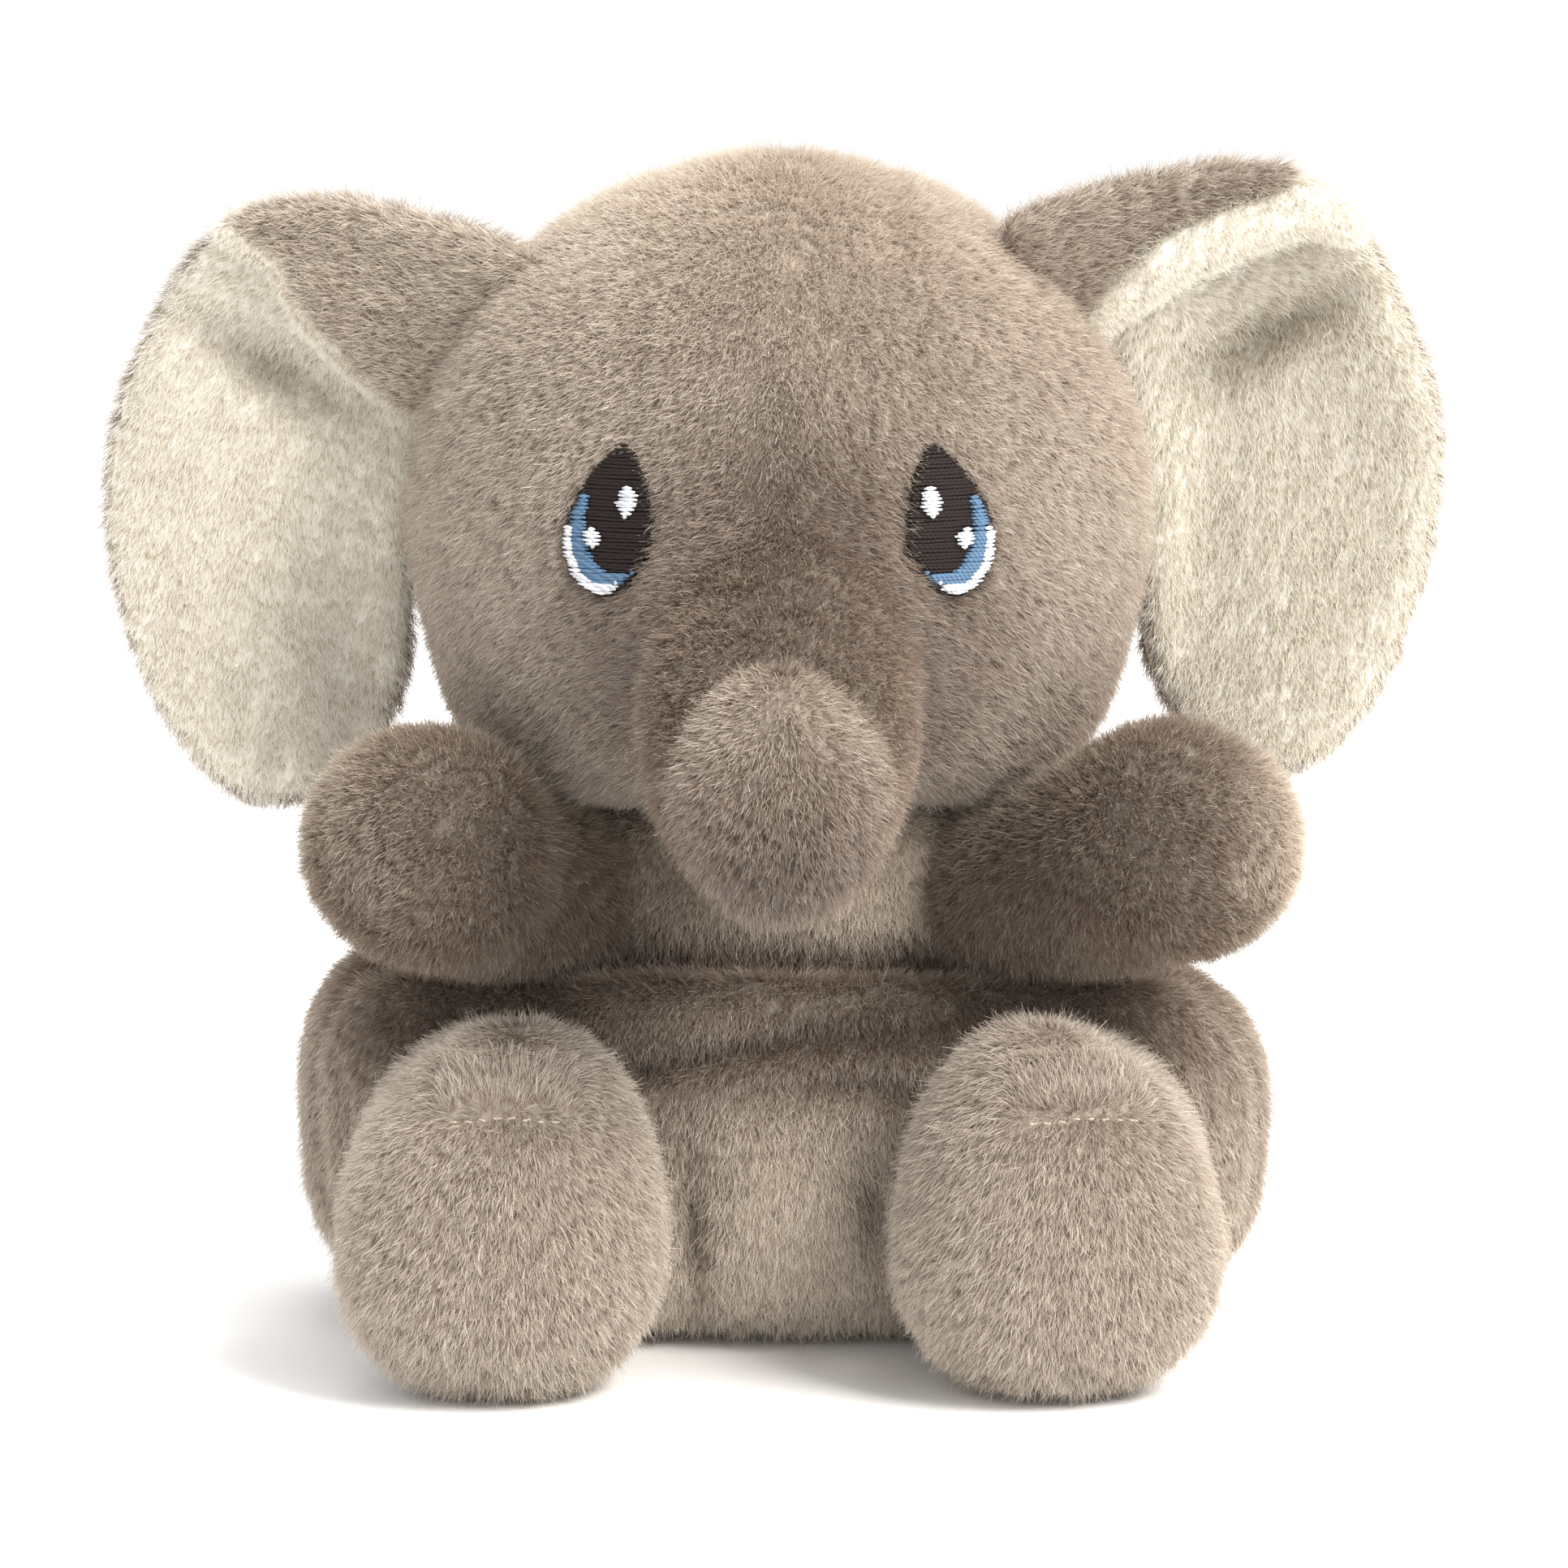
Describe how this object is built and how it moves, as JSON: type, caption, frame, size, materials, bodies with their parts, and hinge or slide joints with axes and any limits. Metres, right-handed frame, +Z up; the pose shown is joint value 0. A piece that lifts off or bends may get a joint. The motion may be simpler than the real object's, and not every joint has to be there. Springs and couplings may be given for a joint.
{
  "type": "stuffed elephant",
  "caption": "Small seated stuffed elephant in short-pile grey plush with cream-faced ears, a stubby trunk, round feet, embroidered eyes and a jointed head, limbs and tail.",
  "frame": {"origin": "middle of the flat underside that the toy sits on, below the middle of its body", "axes": "+X towards the toy's own left side, -Y the way it faces, +Z up out of the surface it sits on"},
  "size_m": [0.1428, 0.1101, 0.1248],
  "materials": {
    "grey_plush": "matte",
    "cream_plush": "matte",
    "fibre_filling": "matte",
    "bag_fabric": "matte",
    "pellets": "matte",
    "dark_thread": "satin",
    "blue_thread": "satin",
    "white_thread": "satin",
    "seam_thread": "matte",
    "label_satin": "satin"
  },
  "bodies": {
    "torso": {"torso_front_panel": "grey_plush", "torso_back_panel": "grey_plush", "torso_filling": "fibre_filling", "pellet_bag": "bag_fabric", "pellets": "pellets", "back_closing_thread": "seam_thread", "sewn_in_label": "label_satin"},
    "neck": {"neck_gather": "grey_plush", "neck_seam_thread": "seam_thread"},
    "head": {"head_gusset": "grey_plush", "head_left_panel": "grey_plush", "head_right_panel": "grey_plush", "head_filling": "fibre_filling", "eye_left_dark_thread": "dark_thread", "eye_left_blue_thread": "blue_thread", "eye_left_white_thread": "white_thread", "eye_right_dark_thread": "dark_thread", "eye_right_blue_thread": "blue_thread", "eye_right_white_thread": "white_thread"},
    "trunk": {"trunk_upper_panel": "grey_plush", "trunk_under_panel": "grey_plush", "trunk_filling": "fibre_filling"},
    "tail": {"tail_cover": "grey_plush"},
    "ear_left": {"ear_left_inner_ply": "cream_plush", "ear_left_outer_ply": "grey_plush", "ear_left_tack_thread": "seam_thread"},
    "arm_left": {"arm_left_cover": "grey_plush", "arm_left_filling": "fibre_filling"},
    "leg_left": {"leg_left_upper": "grey_plush", "leg_left_sole": "grey_plush", "leg_left_filling": "fibre_filling", "leg_left_seam_thread": "seam_thread"},
    "ear_right": {"ear_right_inner_ply": "cream_plush", "ear_right_outer_ply": "grey_plush", "ear_right_tack_thread": "seam_thread"},
    "arm_right": {"arm_right_cover": "grey_plush", "arm_right_filling": "fibre_filling"},
    "leg_right": {"leg_right_upper": "grey_plush", "leg_right_sole": "grey_plush", "leg_right_filling": "fibre_filling", "leg_right_seam_thread": "seam_thread"}
  },
  "joints": [
    {"name": "head_turn", "type": "hinge", "parent": "torso", "child": "neck", "pos_m": [0, 0.003, 0.054], "axis": [0, 0, 1], "range_deg": [-15, 15], "stiffness_Nm_per_rad": 0.15},
    {"name": "head_nod", "type": "hinge", "parent": "neck", "child": "head", "pos_m": [0, 0.003, 0.054], "axis": [-1, 0, 0], "range_deg": [-5, 10], "stiffness_Nm_per_rad": 0.2},
    {"name": "trunk_lift", "type": "hinge", "parent": "head", "child": "trunk", "pos_m": [0, -0.032, 0.076], "axis": [-1, 0, 0], "range_deg": [-6, 18], "stiffness_Nm_per_rad": 0.05},
    {"name": "ear_left_swing", "type": "hinge", "parent": "head", "child": "ear_left", "pos_m": [0.034, 0.007, 0.12], "axis": [0.2652, 0, -0.9642], "range_deg": [-28, 14], "stiffness_Nm_per_rad": 0.01},
    {"name": "ear_right_swing", "type": "hinge", "parent": "head", "child": "ear_right", "pos_m": [-0.034, 0.007, 0.1164], "axis": [0.2652, 0, 0.9642], "range_deg": [-28, 14], "stiffness_Nm_per_rad": 0.01},
    {"name": "arm_left_lift", "type": "hinge", "parent": "torso", "child": "arm_left", "pos_m": [0.025, -0.003, 0.045], "axis": [-0.8087, -0.5882, 0], "range_deg": [0, 10], "stiffness_Nm_per_rad": 0.03},
    {"name": "arm_right_lift", "type": "hinge", "parent": "torso", "child": "arm_right", "pos_m": [-0.025, -0.003, 0.045], "axis": [-0.8609, 0.5087, 0], "range_deg": [0, 10], "stiffness_Nm_per_rad": 0.03},
    {"name": "leg_left_lift", "type": "hinge", "parent": "torso", "child": "leg_left", "pos_m": [0.0295, -0.023, 0.0196], "axis": [-1, 0, 0], "range_deg": [0, 20], "stiffness_Nm_per_rad": 0.05},
    {"name": "leg_right_lift", "type": "hinge", "parent": "torso", "child": "leg_right", "pos_m": [-0.0295, -0.023, 0.0196], "axis": [-1, 0, 0], "range_deg": [0, 20], "stiffness_Nm_per_rad": 0.05},
    {"name": "tail_wag", "type": "hinge", "parent": "torso", "child": "tail", "pos_m": [0, 0.0266, 0.028], "axis": [0, 1, 0], "range_deg": [-30, 30], "stiffness_Nm_per_rad": 0.002}
  ]
}
